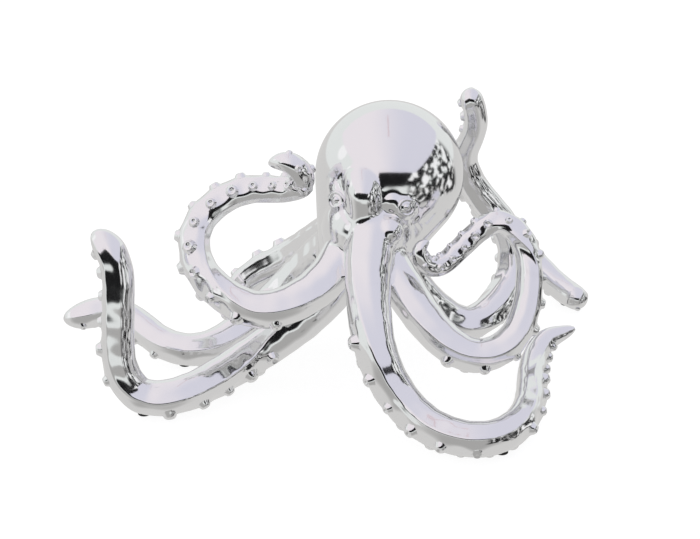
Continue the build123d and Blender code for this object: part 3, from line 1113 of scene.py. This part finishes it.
def room_layers(tree, way):
    """What stands round the figure, from far to near: where each thing is, and its colour."""
    x, y, z = add_node(tree, "ShaderNodeSeparateXYZ", {"Vector": way}).outputs
    # Height over the horizon, and angle from straight ahead round to the right
    height = add_node(tree, "ShaderNodeMath", {0: z}, operation="ARCSINE").outputs["Value"]
    ahead = add_node(tree, "ShaderNodeMath", {0: y, 1: -1.0}, operation="MULTIPLY").outputs["Value"]
    side = add_node(tree, "ShaderNodeMath", {0: x, 1: ahead}, operation="ARCTAN2").outputs["Value"]
    table, in_front = (
        add_node(tree, "ShaderNodeMapRange", {"Value": value, "From Min": low, "From Max": high},
                 interpolation_type="SMOOTHSTEP").outputs["Result"]
        for value, low, high in ((z, 0.0, -TABLE_EDGE), (ahead, *FRONT_EDGE))
    )
    near_table = add_node(tree, "ShaderNodeMath", {0: table, 1: in_front}, operation="MULTIPLY")
    layers = [
        (table, TABLE_GREY),
        (near_table.outputs["Value"], FRONT_TABLE_GREY),
        (sector(tree, height, side, ROOM_HEIGHTS, ROOM_SIDES), ROOM_DARK),
    ]
    patches = add_node(tree, "ShaderNodeTexNoise", {"Vector": way, "Scale": CLUTTER_SCALE, "Detail": 3.0})
    clutter = sector(tree, height, side, CLUTTER_HEIGHTS, CLUTTER_SIDES)
    for (low, high), colour in ((UNLIT_LEVELS, ROOM_DARK), (LIT_LEVELS, WHITE)):
        step = add_node(
            tree, "ShaderNodeMapRange", {"Value": patches.outputs["Fac"], "From Min": low, "From Max": high},
            interpolation_type="SMOOTHSTEP")
        both = {0: clutter, 1: step.outputs["Result"]}
        patch = add_node(tree, "ShaderNodeMath", both, operation="MULTIPLY")
        layers.append((patch.outputs["Value"], colour))
    for direction, half_width in LAMP_WAYS:
        aim = add_node(
            tree, "ShaderNodeVectorMath", {0: way, 1: Vector(direction).normalized()},
            operation="DOT_PRODUCT")
        outer, inner = (math.cos(share * half_width * DEGREE) for share in (1, LAMP_CORE_SHARE))
        limits = {"Value": aim.outputs["Value"], "From Min": outer, "From Max": inner}
        lamp = add_node(tree, "ShaderNodeMapRange", limits, interpolation_type="SMOOTHSTEP")
        layers.append((lamp.outputs["Result"], WHITE))
    return layers


def build_room():
    """The studio round the figure: sweep, table, dark room in front, cluttered room and lamps."""
    bpy.ops.mesh.primitive_uv_sphere_add(segments=64, ring_count=32, radius=ROOM_RADIUS)
    made = bpy.context.object
    made.name = "room"
    material, tree, glow = glowing_material("room", PALE_SWEEP)
    spot = add_node(tree, "ShaderNodeTexCoord").outputs["Object"]
    way = add_node(tree, "ShaderNodeVectorMath", {0: spot}, operation="NORMALIZE").outputs["Vector"]
    colour = to_linear(PALE_SWEEP)
    for where, over in room_layers(tree, way):
        layer = {"Fac": where, "Color1": colour, "Color2": to_linear(over)}
        colour = add_node(tree, "ShaderNodeMixRGB", layer).outputs["Color"]
    connect(glow, {"Color": colour})
    made.data.materials.append(material)
    hide_from_camera(made)


def build_floor():
    """Plain white table that keeps a faint shadow of the figure."""
    half = FLOOR_SIDE / 2
    corners = [(-half, -half, 0), (half, -half, 0), (half, half, 0), (-half, half, 0)]
    made = new_mesh("floor", corners, [(0, 1, 2, 3)])
    material, tree, glow = glowing_material("floor", WHITE, FLOOR_GLOW)
    shade = add_node(tree, "ShaderNodeBsdfDiffuse", {"Color": to_linear(FLOOR_GREY)})
    both = add_node(tree, "ShaderNodeAddShader", {0: glow.outputs["Emission"], 1: shade.outputs["BSDF"]})
    connect(tree.nodes["Material Output"], {"Surface": both.outputs["Shader"]})
    made.data.materials.append(material)
    made.visible_glossy = False


def build_world():
    """White to the camera and in reflections, soft grey light for everything else."""
    world = bpy.data.worlds.new("world")
    bpy.context.scene.world = world
    world.use_nodes = True
    tree = world.node_tree
    rays = add_node(tree, "ShaderNodeLightPath").outputs
    seen = rays["Is Camera Ray"]
    for other in ("Is Glossy Ray", "Is Transmission Ray"):
        either = {0: seen, 1: rays[other]}
        seen = add_node(tree, "ShaderNodeMath", either, operation="MAXIMUM").outputs["Value"]
    level = add_node(tree, "ShaderNodeMapRange", {"Value": seen, "To Min": SOFT_LIGHT, "To Max": 1.0})
    connect(tree.nodes["Background"], {"Color": to_linear(WHITE), "Strength": level.outputs["Result"]})


def build_camera():
    """Camera in front of the figure, looking down on it."""
    data = bpy.data.cameras.new("camera")
    camera = bpy.data.objects.new("camera", data)
    bpy.context.collection.objects.link(camera)
    rise = CAMERA_ELEVATION * DEGREE
    way = Vector((0, -math.cos(rise), math.sin(rise)))
    camera.location = Vector(CAMERA_TARGET) + way * CAMERA_DISTANCE
    camera.rotation_euler = (90 * DEGREE - rise, 0, 0)
    data.lens = CAMERA_LENS
    data.sensor_width = SENSOR_WIDTH
    data.clip_end = FARTHEST_SEEN
    bpy.context.scene.camera = camera


class BuildBody(bpy.types.Operator):
    """Builds the body's skin"""

    bl_idname = "octopus.build_body"
    bl_label = "Build body"

    def execute(self, context):
        build_body()
        return {"FINISHED"}


class BuildArms(bpy.types.Operator):
    """Builds the eight arms with their suckers"""

    bl_idname = "octopus.build_arms"
    bl_label = "Build arms"

    def execute(self, context):
        for name in ARM_SIZES:
            build_arm(name)
        return {"FINISHED"}


class DressHardware(bpy.types.Operator):
    """Gives the feet, the drain plug and the dowels their materials"""

    bl_idname = "octopus.dress_hardware"
    bl_label = "Dress hardware"

    def execute(self, context):
        dress_node("rubber_feet", rubber_material())
        # Moulded grey plastic, dull; and drawn steel rod, satin
        dress_node("drain_plug", worn_material("plug_plastic", sizes().plug_grey, 0.6, 0.0))
        dress_node("dowel_pins", worn_material("dowel_steel", sizes().dowel_grey, 0.35, 1.0))
        return {"FINISHED"}


class BuildStage(bpy.types.Operator):
    """Builds the floor, the studio round the figure and the camera"""

    bl_idname = "octopus.build_stage"
    bl_label = "Build stage"

    def execute(self, context):
        build_floor()
        build_room()
        build_panels()
        build_world()
        build_camera()
        context.scene.view_settings.view_transform = "Standard"
        return {"FINISHED"}


class FigurePanel(bpy.types.Panel):
    bl_label = "Octopus"
    bl_idname = "VIEW3D_PT_octopus"
    bl_space_type = "VIEW_3D"
    bl_region_type = "UI"
    bl_category = "Octopus"

    def draw(self, context):
        for name in FigureSizes.__annotations__:
            self.layout.prop(context.scene.octopus_sizes, name)
        for operator in (BuildBody, BuildArms, DressHardware, BuildStage):
            self.layout.operator(operator.bl_idname)


CLASSES = (FigureSizes, BuildBody, BuildArms, DressHardware, BuildStage, FigurePanel)


def register():
    for item in CLASSES:
        bpy.utils.register_class(item)
    bpy.types.Scene.octopus_sizes = bpy.props.PointerProperty(type=FigureSizes)


def unregister():
    del bpy.types.Scene.octopus_sizes
    for item in reversed(CLASSES):
        bpy.utils.unregister_class(item)


def main():
    register()
    bpy.ops.object.select_all(action="DESELECT")
    bpy.ops.octopus.build_body()
    bpy.ops.octopus.build_arms()
    bpy.ops.octopus.dress_hardware()
    bpy.ops.octopus.build_stage()


if __name__ == "__main__":
    main()
